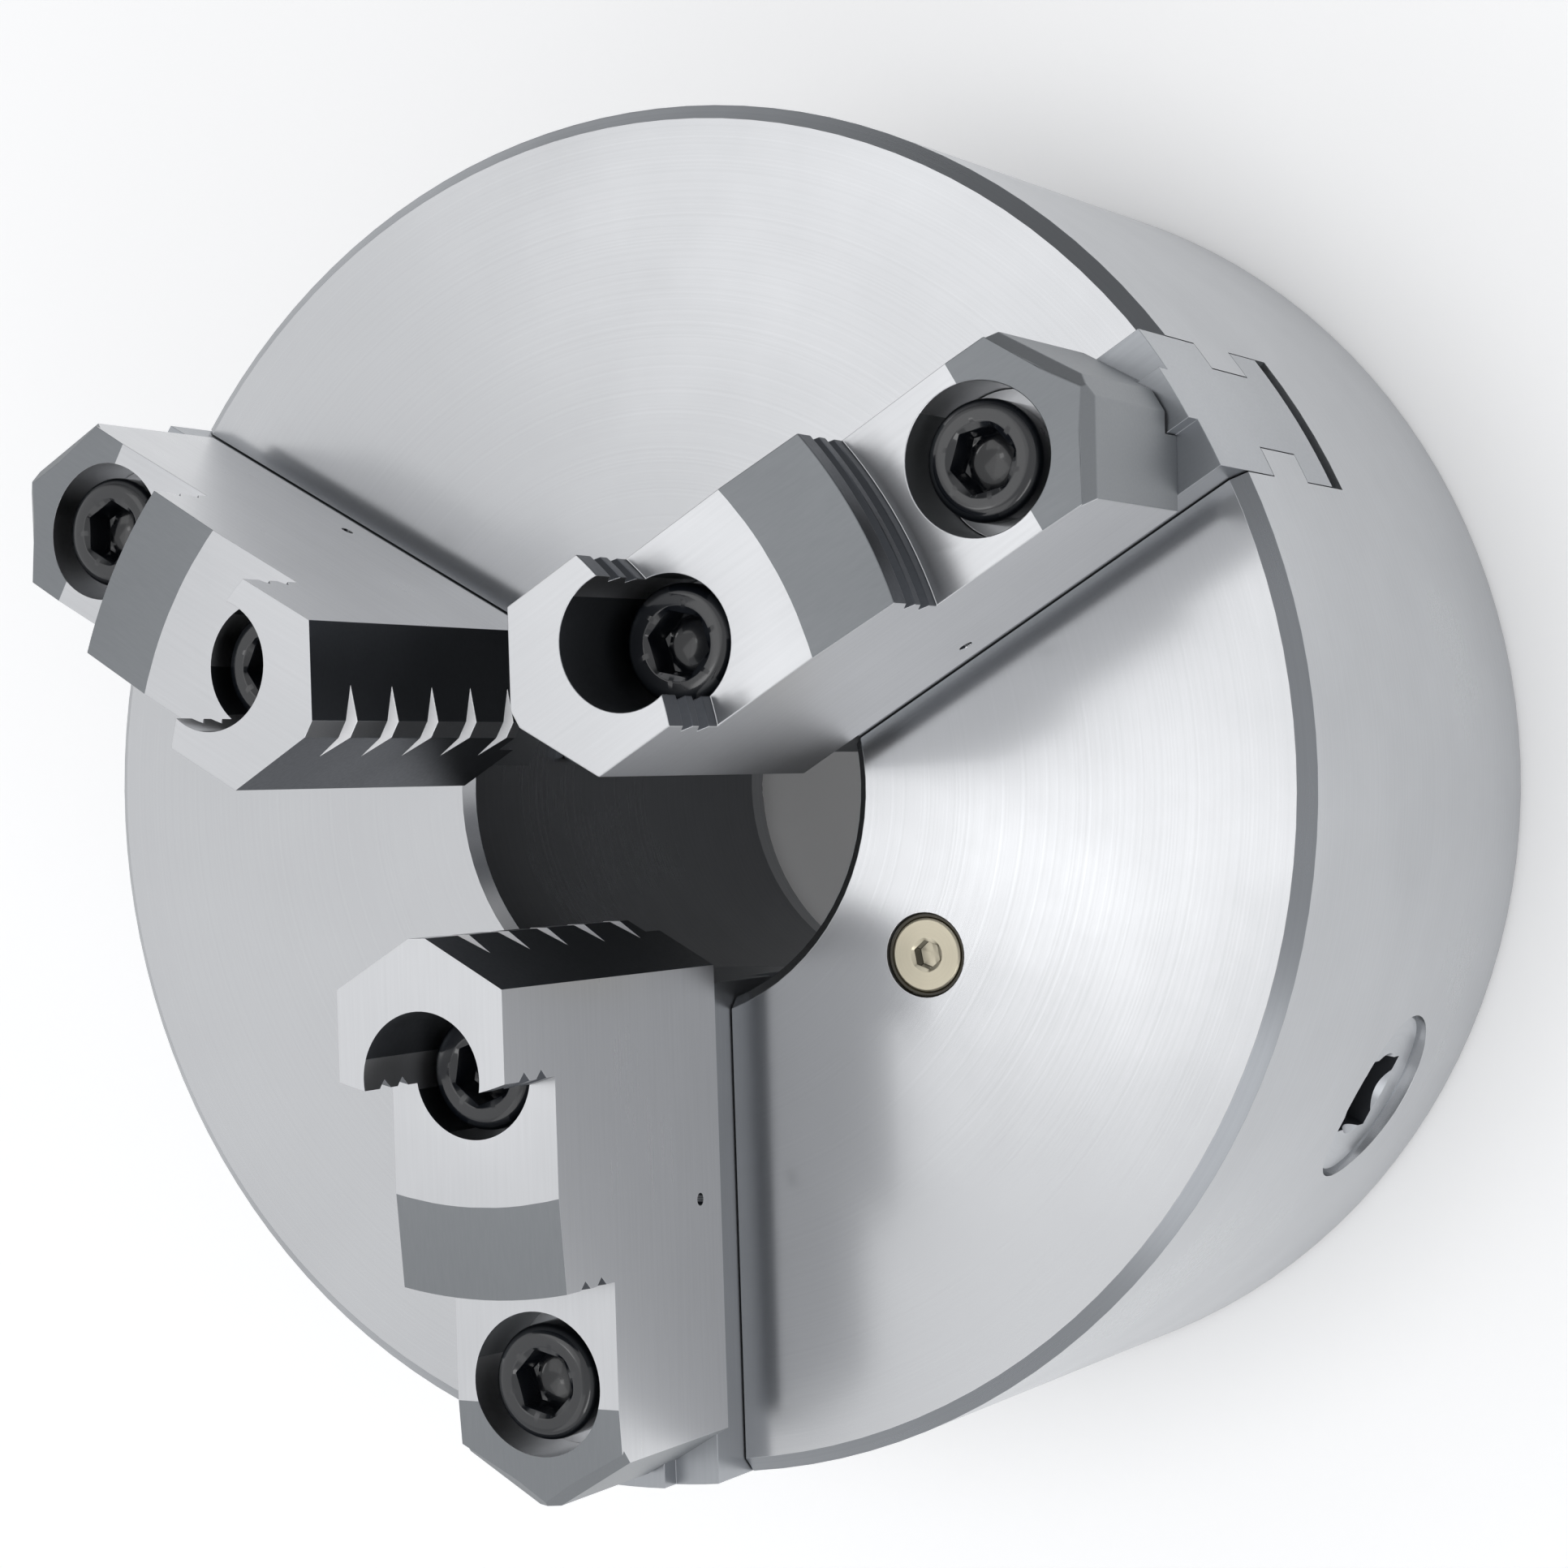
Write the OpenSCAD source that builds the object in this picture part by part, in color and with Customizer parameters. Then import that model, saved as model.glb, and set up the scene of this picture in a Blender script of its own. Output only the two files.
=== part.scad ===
// Three-jaw self-centring lathe chuck with two-piece reversible jaws.
// It lies on its back: the spindle axis is +Z, the jaws point up, and the origin is the centre of
// the rear mounting face.

/* [Body] */
// Outside diameter of the body
body_d = 200; // [198:1:206]
// Height of the body from the rear mounting face to the front face
body_h = 100; // [100:0.5:102]
// Diameter of the through bore
bore_d = 65; // [58:1:66]
// Chamfer round the front rim
rim_chamfer = 2.2; // [1:0.1:3]
// Diameter of the rear register that centres the chuck on its adapter plate
register_d = 165; // [164:0.5:167]
// Depth of the rear register
register_depth = 5; // [4:0.5:5]

/* [Mounting] */
// Pitch circle of the tapped mounting holes in the rear face
mount_pcd = 180; // [178:1:182]
// Tapping drill of the mounting holes
mount_hole_d = 8.5; // [6.8:0.1:10.2]
// Depth of the mounting holes
mount_hole_depth = 20; // [12:1:26]

/* [Jaws] */
// Width of a master jaw
master_w = 22; // [20:0.5:23]
// Width of a top jaw
top_w = 25.7; // [24:0.1:27]
// Distance from the chuck axis to the nose of a top jaw, at rest
nose_r = 18.6; // [18:0.1:22]
// Height of the nose above the front face
nose_h = 64.5; // [60:0.5:68]
// Height of the middle step above the front face
middle_h = 52.1; // [48:0.1:54]
// Height of the low step above the front face
low_h = 38.4; // [36:0.1:40]
// Height of the split between master jaw and top jaw above the front face
split_h = 8; // [7:0.5:10]

/* [Scroll] */
// Pitch of the spiral thread, the jaw travel for one turn of the scroll
scroll_pitch = 10; // [9.6:0.1:10]
// Turns of the spiral thread
scroll_turns = 3; // [2:0.5:3]

/* [Pinions] */
// Distance from the front face to the axis of the pinions
pinion_depth = 64; // [63.5:0.5:64.5]
// Across flats of the square key socket
key_square = 12; // [10:0.5:13]
// Teeth of each pinion
pinion_teeth = 12; // [12:1:12]
// Bevel teeth on the back of the scroll
ring_teeth = 84; // [84:12:84]

/* [Hidden] */

fine = 180;
smooth = 64;
eps = 0.5;
ground_steel = [0.80, 0.81, 0.83];
jaw_steel = [0.72, 0.73, 0.75];
black_oxide = [0.12, 0.12, 0.13];
plug_gold = [0.80, 0.77, 0.68];

body_r = body_d / 2;
bore_r = bore_d / 2;
register_r = register_d / 2;
face_z = body_h;

// Three jaws and three pinions stand at equal angles, half-way between each other
function jaw_angle(i) = 30 + 120 * (i - 1);
function pinion_angle(i) = 330 + 120 * (i - 1);

// Guide ways of the jaws, measured down from the front face
side_clear = 0.2;
waist_w = 13;
waist_top = face_z - 12.5;
waist_bottom = face_z - 26.5;
foot_bottom = face_z - 37;
tooth_h = 4;
tooth_bottom = foot_bottom - tooth_h;
slot_floor = tooth_bottom - 0.4;

// Scroll plate and the space it turns in
hub_r = 42;
scroll_bore_r = hub_r + 0.05;
scroll_r = body_r - 20.5;
cavity_r = scroll_r + 0.5;
thread_top = foot_bottom - 0.6;
thread_floor = tooth_bottom - 0.5;
cavity_top = foot_bottom - 0.2;
thread_wall = 4.6;
thread_groove = scroll_pitch - thread_wall;
thread_start_r = scroll_r - 0.4 - thread_wall - scroll_pitch * scroll_turns;
thread_step = 5;
collar_r = 54;
collar_bottom = 42.5;

// Bevel gearing: both sets of teeth run to the point where the axes cross
pinion_z = face_z - pinion_depth;
gear_ratio = ring_teeth / pinion_teeth;
gear_in = 57;
gear_out = 79.2;
pressure_angle = 25;
backlash = 0.3;
function module_at(r) = 2 * r / (gear_ratio * pinion_teeth);
function addendum_at(r) = 0.9 * module_at(r);
function dedendum_at(r) = 1.25 * module_at(r);
function pitch_z(r) = pinion_z + r / gear_ratio;

// Pinion shaft
pinion_hole_r = 14;
pinion_fit = 0.05;
journal_r = pinion_hole_r - pinion_fit;
journal_in = cavity_r - 0.2;
pinion_end = body_r - 1.8;
pilot_r = 5;
pilot_in = 36.5;
retain_r = body_r - 10;
retain_screw_r = 4;
retain_hole_r = retain_screw_r + 0.05;
groove_r = 10;
groove_w = 6;
dog_r = 2.5;

// Back cover
cover_bottom = register_depth;
cover_t = 5;
cover_top = cover_bottom + cover_t;
cover_r = register_r - 1.1;
cover_clear = 0.1;
cover_screw_r = 37.5;
cover_screws = 6;
cover_tap_r = 2.55;
cover_tap_depth = 12.5;

// Master jaws
master_in = 28;
master_top = face_z + split_h;
tongue_w = 8;
tongue_h = 3.2;
cross_w = 12.7;
cross_len = 16;
cross_t = 7;
cross_x = 58;

// Top jaws
nose_top = face_z + nose_h;
middle_top = face_z + middle_h;
low_top = face_z + low_h;
half_top = top_w / 2;
nose_flat = 1.3;
nose_bevel = 30;
inner_screw_x = nose_r + 18.5;
outer_screw_x = 80.9;
nose_wall_r = 39.6;
middle_slope_r = 55.1;
middle_wall_r = 67.6;
slope_drop = 1.3;
low_slope_x = 83.7;
low_slope_drop = 1.8;
vee_corner_x = 91.2;
vee_tip_x = 97.8;
low_slope_end = vee_tip_x + 5;
vee_flat = 1.7;
vee_chamfer = 1.6;
inner_seat = middle_top - 12;
outer_seat = low_top - 11.4;
inner_cbore_r = 9;
outer_cbore_r = 10;

// Socket head cap screws, M10
screw_r = 5;
screw_clear_r = 5.5;
screw_tap_r = 5.05;
head_r = 8;
head_h = 10;
hex_af = 8;
hex_depth = 5;
screw_tip = face_z - 8;

// Oil plug in the front face
plug_angle = 330;
plug_x = 49;
plug_head_r = 5.2;
plug_seat_r = 6;
plug_seat_depth = 4;
plug_shank_r = 4;
plug_hole_r = plug_shank_r + 0.05;

// Involute function, in degrees
function inv(a) = tan(a) * 180 / PI - a;

// A hexagonal prism, across flats af, standing on the plane z = 0
module hex_prism(af, h) {
    cylinder(r = af / 2 / cos(30), h = h, $fn = 6);
}

// ---------------------------------------------------------------- body

// Guide way for one jaw along +X: a wide mouth, a narrow waist and a wide foot
module jaw_slot() {
    wide = master_w + 2 * side_clear;
    narrow = waist_w + 2 * side_clear;
    length = body_r + 10;
    translate([0, -wide / 2, waist_top - side_clear]) cube([length, wide, body_h]);
    translate([0, -narrow / 2, slot_floor + 2]) cube([length, narrow, body_h]);
    translate([0, -wide / 2, slot_floor]) cube([length, wide, waist_bottom + side_clear - slot_floor]);
}

// The outside of the body with its chamfered rims
module body_blank() {
    rear_chamfer = 1;
    rotate_extrude($fn = fine) polygon([
        [0, 0],
        [body_r - rear_chamfer, 0],
        [body_r, rear_chamfer],
        [body_r, face_z - rim_chamfer],
        [body_r - rim_chamfer, face_z],
        [0, face_z]
    ]);
}

// The space for scroll, pinion gears and back cover, open to the rear round the hub
module body_cavity() {
    difference() {
        union() {
            translate([0, 0, cover_top - eps])
                cylinder(r = cavity_r, h = cavity_top - cover_top + eps, $fn = fine);
            translate([0, 0, cover_bottom - eps])
                cylinder(r = cover_r + cover_clear, h = cover_t + eps, $fn = fine);
        }
        translate([0, 0, cover_top]) cylinder(r = hub_r, h = body_h, $fn = fine);
    }
    translate([0, 0, -eps]) cylinder(r = register_r, h = register_depth + eps, $fn = fine);
}

module bore_cut() {
    mouth = 1.5;
    translate([0, 0, -eps]) cylinder(r = bore_r, h = body_h + 2 * eps, $fn = fine);
    translate([0, 0, face_z - mouth])
        cylinder(r1 = bore_r, r2 = bore_r + mouth + eps, h = mouth + eps, $fn = fine);
}

// Holes for one pinion: the journal through the wall, the pilot in the hub, the retaining screw
module pinion_cut() {
    reach = 3;
    translate([cavity_r - reach, 0, pinion_z]) rotate([0, 90, 0])
        cylinder(r = pinion_hole_r, h = body_r - cavity_r + 3 * reach, $fn = smooth);
    translate([pilot_in - 0.5, 0, pinion_z]) rotate([0, 90, 0])
        cylinder(r = pilot_r + pinion_fit, h = hub_r - pilot_in + reach, $fn = smooth);
    translate([retain_r, 0, -eps])
        cylinder(r = retain_hole_r, h = pinion_z - pinion_hole_r + reach, $fn = smooth);
}

module plug_cut() {
    translate([plug_x, 0, face_z - plug_seat_depth]) cylinder(r = plug_seat_r, h = 10, $fn = smooth);
    translate([plug_x, 0, cavity_top - 1]) cylinder(r = plug_hole_r, h = body_h, $fn = smooth);
}

module chuck_body() {
    color(ground_steel) difference() {
        body_blank();
        body_cavity();
        bore_cut();
        for (i = [1:3]) rotate([0, 0, jaw_angle(i)]) {
            jaw_slot();
            translate([mount_pcd / 2, 0, -eps])
                cylinder(d = mount_hole_d, h = mount_hole_depth + eps, $fn = smooth);
        }
        for (i = [1:3]) rotate([0, 0, pinion_angle(i)]) pinion_cut();
        for (k = [1:cover_screws]) rotate([0, 0, 60 * k])
            translate([cover_screw_r, 0, cover_top - eps])
                cylinder(r = cover_tap_r, h = cover_tap_depth + eps, $fn = 32);
        rotate([0, 0, plug_angle]) plug_cut();
    }
}

// ---------------------------------------------------------------- scroll

// Spiral wall of the front thread: its radius grows by one pitch in each turn
module spiral_thread() {
    last = 360 * scroll_turns;
    inside = [for (a = [0:thread_step:last])
        let (r = thread_start_r + scroll_pitch * a / 360) [r * cos(a), r * sin(a)]];
    outside = [for (a = [last:-thread_step:0])
        let (r = thread_start_r + thread_wall + scroll_pitch * a / 360) [r * cos(a), r * sin(a)]];
    translate([0, 0, thread_floor - eps]) linear_extrude(thread_top - thread_floor + eps)
        polygon(concat(inside, outside));
}

// Half width of a bevel tooth of the scroll at radius r, h above its pitch line
function ring_half_w(r, h) =
    PI * r / (2 * ring_teeth) - backlash / 2 * r / gear_out + h * tan(pressure_angle);

// One bevel tooth along +X: a wedge whose edges all run to the crossing point of the axes
module ring_tooth() {
    root = 1;
    points = [for (r = [gear_in, gear_out]) each [
        [r, -ring_half_w(r, -addendum_at(r)), pitch_z(r) - addendum_at(r)],
        [r, ring_half_w(r, -addendum_at(r)), pitch_z(r) - addendum_at(r)],
        [r, ring_half_w(r, dedendum_at(r)), pitch_z(r) + dedendum_at(r) + root],
        [r, -ring_half_w(r, dedendum_at(r)), pitch_z(r) + dedendum_at(r) + root]
    ]];
    polyhedron(
        points,
        [[0, 1, 2, 3], [7, 6, 5, 4], [0, 4, 5, 1], [1, 5, 6, 2], [2, 6, 7, 3], [3, 7, 4, 0]]
    );
}

module scroll_plate() {
    color(jaw_steel) {
        rotate_extrude($fn = fine) polygon([
            [scroll_bore_r, collar_bottom],
            [collar_r, collar_bottom],
            [collar_r + 1, pitch_z(collar_r + 1) + dedendum_at(collar_r + 1)],
            [scroll_r, pitch_z(scroll_r) + dedendum_at(scroll_r)],
            [scroll_r, thread_floor],
            [scroll_bore_r, thread_floor]
        ]);
        spiral_thread();
        for (k = [1:ring_teeth]) rotate([0, 0, pinion_angle(1) + 360 / ring_teeth * k]) ring_tooth();
    }
}

// ---------------------------------------------------------------- back cover

// Ring that closes the rear, with an upstanding rim that carries the scroll
module back_cover() {
    rim_in = 44;
    rim_out = 53.5;
    rim_top = collar_bottom - 0.3;
    notch_w = 12;
    sink_r = 5;
    color(ground_steel) difference() {
        union() {
            translate([0, 0, cover_bottom]) cylinder(r = cover_r, h = cover_t, $fn = fine);
            translate([0, 0, cover_top - eps])
                cylinder(r = rim_out, h = rim_top - cover_top + eps, $fn = fine);
        }
        translate([0, 0, cover_top]) cylinder(r = rim_in, h = body_h, $fn = fine);
        cylinder(r = bore_r + 0.5, h = body_h, $fn = fine);
        for (i = [1:3]) rotate([0, 0, pinion_angle(i)])
            translate([rim_in - 2, -notch_w / 2, pinion_z - pilot_r - 1])
                cube([rim_out - rim_in + 5, notch_w, body_h]);
        for (k = [1:cover_screws]) rotate([0, 0, 60 * k]) translate([cover_screw_r, 0, 0]) {
            cylinder(r = cover_tap_r + 0.2, h = body_h, $fn = 32);
            translate([0, 0, cover_bottom - 0.2])
                cylinder(r1 = sink_r, r2 = sink_r / 2, h = sink_r / 2, $fn = 32);
        }
    }
}

// Countersunk screws that hold the back cover on the hub
module back_cover_screws() {
    shank_r = 2.4;
    sunk_r = 4.6;
    color(black_oxide) for (k = [1:cover_screws]) rotate([0, 0, 60 * k]) translate([cover_screw_r, 0, 0])
        difference() {
            union() {
                translate([0, 0, cover_bottom + 0.1])
                    cylinder(r1 = sunk_r, r2 = shank_r, h = sunk_r - shank_r, $fn = 32);
                translate([0, 0, cover_bottom + 2]) cylinder(r = shank_r, h = 13, $fn = 32);
            }
            translate([0, 0, cover_bottom - 1]) hex_prism(3, 2.8);
        }
}

// ---------------------------------------------------------------- pinions

// Outline of one bevel gear at distance x from the crossing point, with involute flanks
module pinion_outline(x) {
    pitch_r = x / gear_ratio;
    base_r = pitch_r * cos(pressure_angle);
    root_r = pitch_r - dedendum_at(x);
    tip_r = pitch_r + addendum_at(x);
    half = 90 / pinion_teeth - backlash / 2 * x / gear_out / pitch_r * 180 / PI;
    radii = [root_r, base_r, (base_r + pitch_r) / 2, pitch_r, (pitch_r + tip_r) / 2, tip_r];
    flank = [for (r = radii)
        let (a = r <= base_r ? 0 : acos(base_r / r)) [r, half + inv(pressure_angle) - inv(a)]];
    n = len(flank);
    polygon([for (k = [0:pinion_teeth - 1]) let (turn = 360 / pinion_teeth * (k + 0.5)) each concat(
        [for (j = [0:n - 1]) flank[j][0] * [cos(turn - flank[j][1]), sin(turn - flank[j][1])]],
        [for (j = [n - 1:-1:0]) flank[j][0] * [cos(turn + flank[j][1]), sin(turn + flank[j][1])]]
    )]);
}

// One pinion along +X: pilot, bevel gear, grooved journal and square key socket
module pinion() {
    gear_len = journal_in + 0.2 - gear_in;
    socket_depth = 17;
    lead_in = 1;
    socket_cone = 1.6 * lead_in;
    translate([0, 0, pinion_z]) rotate([0, 90, 0]) difference() {
        union() {
            translate([0, 0, pilot_in]) cylinder(r = pilot_r, h = gear_in - pilot_in + 1, $fn = smooth);
            translate([0, 0, gear_in]) linear_extrude(gear_len, scale = (gear_in + gear_len) / gear_in)
                pinion_outline(gear_in);
            rotate_extrude($fn = smooth) polygon([
                [0, journal_in],
                [journal_r, journal_in],
                [journal_r, retain_r - groove_w / 2],
                [groove_r, retain_r - groove_w / 2],
                [groove_r, retain_r + groove_w / 2],
                [journal_r, retain_r + groove_w / 2],
                [journal_r, pinion_end - 0.8],
                [journal_r - 0.8, pinion_end],
                [0, pinion_end]
            ]);
        }
        translate([0, 0, pinion_end - socket_depth]) rotate([0, 0, 45])
            cylinder(r = key_square / 2 / cos(45), h = socket_depth + 1, $fn = 4);
        translate([0, 0, pinion_end - lead_in])
            cylinder(
                r1 = key_square / 2,
                r2 = key_square / 2 + socket_cone,
                h = socket_cone,
                $fn = smooth
            );
    }
}

module pinion_1() { color(jaw_steel) rotate([0, 0, pinion_angle(1)]) pinion(); }
module pinion_2() { color(jaw_steel) rotate([0, 0, pinion_angle(2)]) pinion(); }
module pinion_3() { color(jaw_steel) rotate([0, 0, pinion_angle(3)]) pinion(); }

// Dog-point screws from the rear whose tips stand in the grooves of the pinions
module pinion_retaining_screws() {
    tip = pinion_z - groove_r - 0.4;
    sunk = 3;
    color(black_oxide) for (i = [1:3]) rotate([0, 0, pinion_angle(i)]) translate([retain_r, 0, 0])
        difference() {
            union() {
                translate([0, 0, sunk])
                    cylinder(r = retain_screw_r, h = pinion_z - pinion_hole_r - sunk - 1, $fn = smooth);
                translate([0, 0, sunk + 2]) cylinder(r = dog_r, h = tip - sunk - 2, $fn = smooth);
            }
            translate([0, 0, sunk - 1]) hex_prism(4, 5);
        }
}

// ---------------------------------------------------------------- jaws

// Distance from the axis to the middle of the thread groove, on the line of jaw i
function groove_centre(i) =
    thread_start_r + scroll_pitch * jaw_angle(i) / 360 + thread_wall + thread_groove / 2;
function tooth_places(i) = [for (k = [-4:6])
    let (x = groove_centre(i) + scroll_pitch * k) if (x > master_in + 2.6 && x < body_r - 2.9) x];

// One tooth of a master jaw: its outer flank follows the tightest turn of the thread and its inner
// flank the widest, and it leans with the thread's mean lead
module jaw_tooth(x) {
    half_t = thread_groove / 2 - 0.4;
    half_w = master_w / 2 - 0.5;
    lead = 1.5;
    steps = 6;
    places = [for (k = [0:steps]) -half_w + 2 * half_w * k / steps];
    outer = [for (y = places) [half_t - y * y / (2 * thread_start_r), y]];
    inner = [for (k = [steps:-1:0]) let (y = places[k]) [-half_t - y * y / (2 * (scroll_r + 4)), y]];
    translate([x, 0, tooth_bottom]) rotate([0, 0, -lead]) linear_extrude(tooth_h + 1)
        polygon(concat(outer, inner));
}

// Master jaw along +X: wide head, waist, wide foot with scroll teeth, and a tongue along its top
module master_jaw(i) {
    length = body_r - master_in + 2;
    difference() {
        intersection() {
            union() {
                translate([master_in, -master_w / 2, waist_top])
                    cube([length, master_w, master_top - waist_top]);
                translate([master_in, -waist_w / 2, foot_bottom])
                    cube([length, waist_w, waist_top - foot_bottom + 1]);
                translate([master_in, -master_w / 2, foot_bottom])
                    cube([length, master_w, waist_bottom - foot_bottom]);
                translate([master_in, -tongue_w / 2, master_top - 1])
                    cube([length, tongue_w, tongue_h + 1]);
            }
            cylinder(r = body_r, h = 2 * body_h, $fn = fine);
        }
        for (x = [inner_screw_x, outer_screw_x]) translate([x, 0, screw_tip - 2])
            cylinder(r = screw_tap_r, h = body_h, $fn = smooth);
        translate([cross_x - cross_w / 2, -cross_len / 2, master_top - cross_t / 2])
            cube([cross_w, cross_len, cross_t]);
    }
    for (x = tooth_places(i)) jaw_tooth(x);
}

module master_jaw_1() { color(jaw_steel) rotate([0, 0, jaw_angle(1)]) master_jaw(1); }
module master_jaw_2() { color(jaw_steel) rotate([0, 0, jaw_angle(2)]) master_jaw(2); }
module master_jaw_3() { color(jaw_steel) rotate([0, 0, jaw_angle(3)]) master_jaw(3); }

// Key sunk half in each jaw, that locates the top jaw along the master jaw
module cross_key() {
    gap = 0.05;
    translate([cross_x - cross_w / 2 + gap, -cross_len / 2 + gap, master_top - cross_t / 2 + gap])
        cube([cross_w - 2 * gap, cross_len - 2 * gap, cross_t - 2 * gap]);
}

module cross_key_1() { color(jaw_steel) rotate([0, 0, jaw_angle(1)]) cross_key(); }
module cross_key_2() { color(jaw_steel) rotate([0, 0, jaw_angle(2)]) cross_key(); }
module cross_key_3() { color(jaw_steel) rotate([0, 0, jaw_angle(3)]) cross_key(); }

// Plan of a top jaw: a bevelled nose towards the axis and a blunt point at the outer end
module top_jaw_plan() {
    nose_corner = nose_r + (half_top - nose_flat) * tan(nose_bevel);
    polygon([
        [nose_r, -nose_flat],
        [nose_corner, -half_top],
        [vee_corner_x, -half_top],
        [vee_tip_x, -vee_flat],
        [vee_tip_x, vee_flat],
        [vee_corner_x, half_top],
        [nose_corner, half_top],
        [nose_r, nose_flat]
    ]);
}

// The part of the plan within radius r of the chuck axis, from the split up to height top
module step_block(r, top) {
    intersection() {
        translate([0, 0, master_top]) linear_extrude(top - master_top) top_jaw_plan();
        cylinder(r = r, h = 2 * body_h, $fn = fine);
    }
}

// Round groove of triangular section about the chuck axis, cut into a step wall
module wall_groove(r, z) {
    depth = 1.1;
    half = 2.4;
    rotate_extrude($fn = fine) polygon([[r - depth, z], [r + 1, z - half], [r + 1, z + half]]);
}

// Three stepped levels, with a slope from the middle step to its wall and to the outer end
module top_jaw_steps() {
    low_slope = [
        [low_slope_x, low_top],
        [low_slope_end, low_top - low_slope_drop],
        [low_slope_end, low_top + 1],
        [low_slope_x, low_top + 1]
    ];
    difference() {
        union() {
            step_block(nose_wall_r, nose_top);
            step_block(middle_wall_r, middle_top);
            step_block(2 * body_r, low_top);
        }
        translate([0, top_w, 0]) rotate([90, 0, 0]) linear_extrude(2 * top_w) polygon(low_slope);
        difference() {
            translate([0, 0, middle_top - slope_drop]) cylinder(r = middle_wall_r + 2, h = 20, $fn = fine);
            translate([0, 0, middle_top - slope_drop])
                cylinder(r1 = middle_wall_r, r2 = middle_slope_r, h = slope_drop, $fn = fine);
            translate([0, 0, middle_top - 2 * slope_drop]) cylinder(r = middle_slope_r, h = 30, $fn = fine);
        }
    }
}

// Gripping grooves across the nose, screw seats, tongue groove, cross slot and edge chamfers
module top_jaw_cuts() {
    nose_pitch = 9.9;
    nose_first = 9.2;
    nose_depth = 2.4;
    nose_half = 1.9;
    tongue_gap = 0.15;
    key_depth = cross_t / 2;
    dimple_r = 0.9;
    dimple_z = master_top + 6;
    for (k = [0:4]) translate([nose_r, top_w, nose_top - nose_first - nose_pitch * k]) rotate([90, 0, 0])
        linear_extrude(2 * top_w) polygon([[nose_depth, 0], [-1, -nose_half], [-1, nose_half]]);
    for (rise = [3.4, 7.6]) {
        wall_groove(middle_wall_r, low_top + rise);
        wall_groove(nose_wall_r, middle_top + rise);
    }
    translate([inner_screw_x, 0, 0]) {
        cylinder(r = screw_clear_r, h = 2 * body_h, $fn = smooth);
        translate([0, 0, inner_seat]) cylinder(r = inner_cbore_r, h = body_h, $fn = smooth);
    }
    translate([outer_screw_x, 0, 0]) {
        cylinder(r = screw_clear_r, h = 2 * body_h, $fn = smooth);
        translate([0, 0, outer_seat]) cylinder(r = outer_cbore_r, h = body_h, $fn = smooth);
    }
    translate([0, -tongue_w / 2 - tongue_gap, master_top - 1])
        cube([body_d, tongue_w + 2 * tongue_gap, tongue_h + 1 + 0.8]);
    translate([cross_x - cross_w / 2, -cross_len / 2, master_top - 1])
        cube([cross_w, cross_len, key_depth + 1]);
    for (s = [-1, 1]) {
        vee_edge_cut(s);
        translate([cross_x, s * half_top, dimple_z]) rotate([90, 0, 0])
            cylinder(r = dimple_r, h = 2.4, center = true, $fn = 24);
    }
}

// Chamfer along one top edge of the pointed outer end
module vee_edge_cut(s) {
    run = vee_tip_x - vee_corner_x;
    rise = half_top - vee_flat;
    side = vee_chamfer * sqrt(2);
    mid_drop = low_slope_drop * (vee_tip_x - run / 2 - low_slope_x) / (low_slope_end - low_slope_x);
    translate([vee_tip_x - run / 2, s * (half_top + vee_flat) / 2, low_top - mid_drop])
        rotate([0, 0, -s * atan(rise / run)]) rotate([45, 0, 0])
            cube([norm([run, rise]) + 4, side, side], center = true);
}

module top_jaw() {
    difference() {
        top_jaw_steps();
        top_jaw_cuts();
    }
}

module top_jaw_1() { color(jaw_steel) rotate([0, 0, jaw_angle(1)]) top_jaw(); }
module top_jaw_2() { color(jaw_steel) rotate([0, 0, jaw_angle(2)]) top_jaw(); }
module top_jaw_3() { color(jaw_steel) rotate([0, 0, jaw_angle(3)]) top_jaw(); }

// Socket head cap screw along Z with its head seated at height seat
module cap_screw(seat) {
    edge = 0.8;
    difference() {
        union() {
            rotate_extrude($fn = smooth) polygon([
                [0, seat],
                [head_r, seat],
                [head_r, seat + head_h - edge],
                [head_r - edge, seat + head_h],
                [0, seat + head_h]
            ]);
            translate([0, 0, screw_tip]) cylinder(r = screw_r, h = seat - screw_tip + 1, $fn = smooth);
        }
        translate([0, 0, seat + head_h - hex_depth]) hex_prism(hex_af, hex_depth + 1);
    }
}

module inner_screw(i) {
    color(black_oxide) rotate([0, 0, jaw_angle(i)]) translate([inner_screw_x, 0, 0]) cap_screw(inner_seat);
}

module outer_screw(i) {
    color(black_oxide) rotate([0, 0, jaw_angle(i)]) translate([outer_screw_x, 0, 0]) cap_screw(outer_seat);
}

module inner_jaw_screw_1() { inner_screw(1); }
module inner_jaw_screw_2() { inner_screw(2); }
module inner_jaw_screw_3() { inner_screw(3); }
module outer_jaw_screw_1() { outer_screw(1); }
module outer_jaw_screw_2() { outer_screw(2); }
module outer_jaw_screw_3() { outer_screw(3); }

// ---------------------------------------------------------------- oil plug

module oil_plug() {
    head_t = 3.4;
    sunk = 0.3;
    color(plug_gold) rotate([0, 0, plug_angle]) translate([plug_x, 0, 0]) difference() {
        union() {
            translate([0, 0, face_z - sunk - head_t]) cylinder(r = plug_head_r, h = head_t, $fn = smooth);
            translate([0, 0, face_z - 16]) cylinder(r = plug_shank_r, h = 14, $fn = smooth);
        }
        translate([0, 0, face_z - sunk - 2.5]) hex_prism(3.6, 4);
    }
}

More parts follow.
